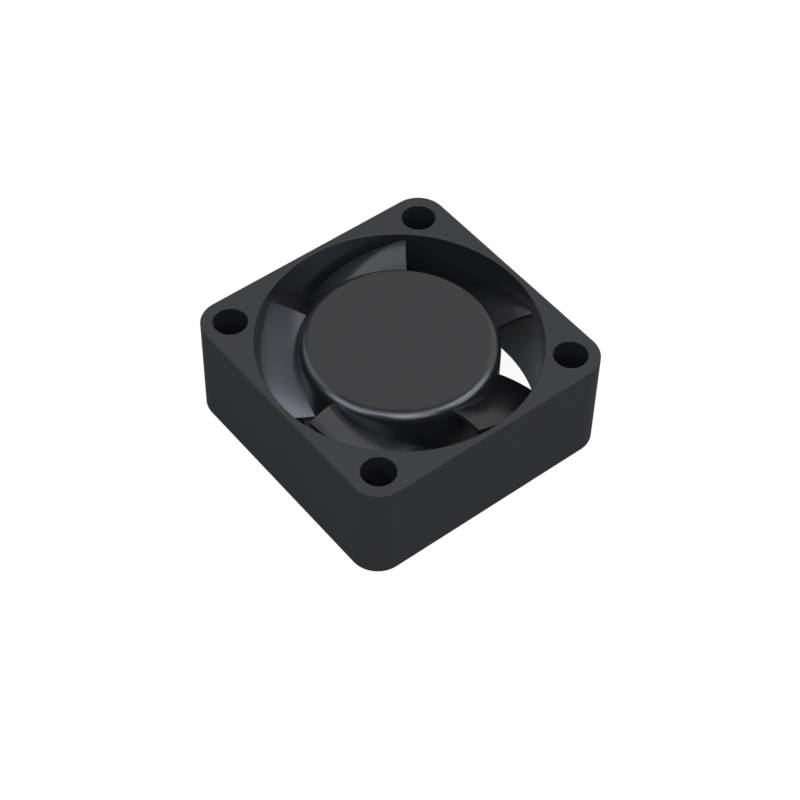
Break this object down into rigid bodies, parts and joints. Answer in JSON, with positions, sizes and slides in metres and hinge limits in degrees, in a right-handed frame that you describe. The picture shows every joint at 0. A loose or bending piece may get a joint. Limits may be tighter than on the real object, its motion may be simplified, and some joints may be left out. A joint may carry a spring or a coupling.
{
  "type": "cooling fan",
  "caption": "Square brushless axial cooling fan with swept blades on a flat hub cap, in a one-piece frame with corner screw holes.",
  "frame": {"origin": "centre of the frame's lower face, the strut side, which the fan lies on", "axes": "+Z along the fan's axis from the strut side to the hub-cap side; X and Y along the frame's square sides"},
  "size_m": [0.025, 0.025, 0.01],
  "materials": {
    "frame_plastic": "charcoal glass-filled moulding, fine grain, satin",
    "impeller_plastic": "charcoal glass-filled moulding, smooth satin",
    "bronze": "sintered, oil soaked",
    "cap_plastic": "smooth",
    "pad_plastic": "natural nylon",
    "label_foil": "blank satin foil",
    "board_laminate": "green solder resist",
    "chip_epoxy": "moulded epoxy",
    "ceramic": "fired ceramic with tinned ends",
    "resistor_film": "glazed",
    "solder": "tinned",
    "electrical_steel": "punched silicon steel",
    "insulator_plastic": "natural polyamide",
    "copper_wire": "enamelled copper winding",
    "yoke_steel": "zinc-plated, drawn",
    "ferrite": "bonded ferrite",
    "ground_steel": "ground",
    "brass": "turned"
  },
  "bodies": {
    "frame": {"frame_housing": "frame_plastic", "sleeve_bearing": "bronze", "bearing_cap": "cap_plastic", "thrust_pad": "pad_plastic", "rear_label": "label_foil", "circuit_board": "board_laminate", "driver_chip": "chip_epoxy", "capacitor": "ceramic", "resistor": "resistor_film", "diode": "chip_epoxy", "solder_pad_1": "solder", "solder_pad_2": "solder", "terminal_pin_1": "solder", "terminal_pin_2": "solder", "terminal_pin_3": "solder", "stator_lamination_1": "electrical_steel", "stator_lamination_2": "electrical_steel", "stator_lamination_3": "electrical_steel", "stator_lamination_4": "electrical_steel", "stator_lamination_5": "electrical_steel", "insulator_upper": "insulator_plastic", "insulator_lower": "insulator_plastic", "coil_1": "copper_wire", "coil_2": "copper_wire", "coil_3": "copper_wire", "coil_4": "copper_wire"},
    "rotor": {"impeller": "impeller_plastic", "rotor_yoke": "yoke_steel", "magnet_ring": "ferrite", "shaft": "ground_steel", "shaft_bush": "brass", "retaining_clip": "pad_plastic", "thrust_washer": "pad_plastic"}
  },
  "joints": [
    {"name": "rotor_spin", "type": "hinge", "parent": "frame", "child": "rotor", "pos_m": [0, 0, 0.005], "axis": [0, 0, 1], "continuous": true}
  ]
}
